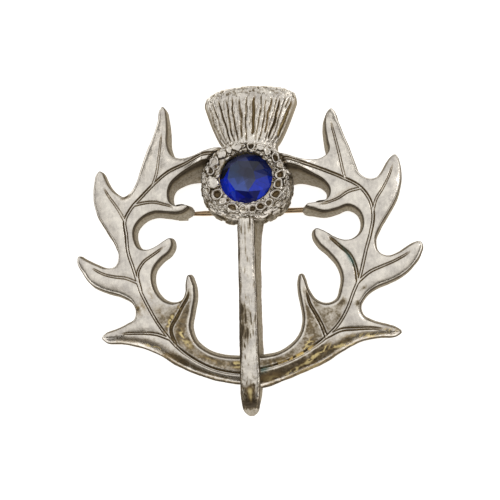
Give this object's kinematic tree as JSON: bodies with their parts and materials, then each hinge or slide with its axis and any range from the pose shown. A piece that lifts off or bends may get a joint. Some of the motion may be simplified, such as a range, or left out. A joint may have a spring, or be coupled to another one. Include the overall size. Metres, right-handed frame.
{
  "type": "thistle brooch",
  "caption": "Brooch cast as a thistle in a wreath of spiky leaves, with a round cut blue stone in its bulb and a hinged pin on the back.",
  "frame": {"origin": "on the surface that the brooch lies on, under the middle of its outline", "axes": "+X across the wreath to the hinge side, +Y along the stem to the flower head, +Z out of the front"},
  "size_m": [0.0559, 0.0532, 0.0099],
  "materials": {
    "cast_metal": "silver-coloured white metal casting, polished on its faces and dark in its recesses",
    "blue_glass": "cut and foiled royal blue glass, polished",
    "pin_wire": "plated steel wire, worn to a copper tint"
  },
  "bodies": {
    "brooch": {"casting": "cast_metal", "stone": "blue_glass"},
    "pin": {"pin": "pin_wire"}
  },
  "joints": [
    {"name": "pin_hinge", "type": "hinge", "parent": "brooch", "child": "pin", "pos_m": [0.0126, 0.00685, 0.00125], "axis": [0, -1, 0], "range_deg": [0, 80]}
  ]
}
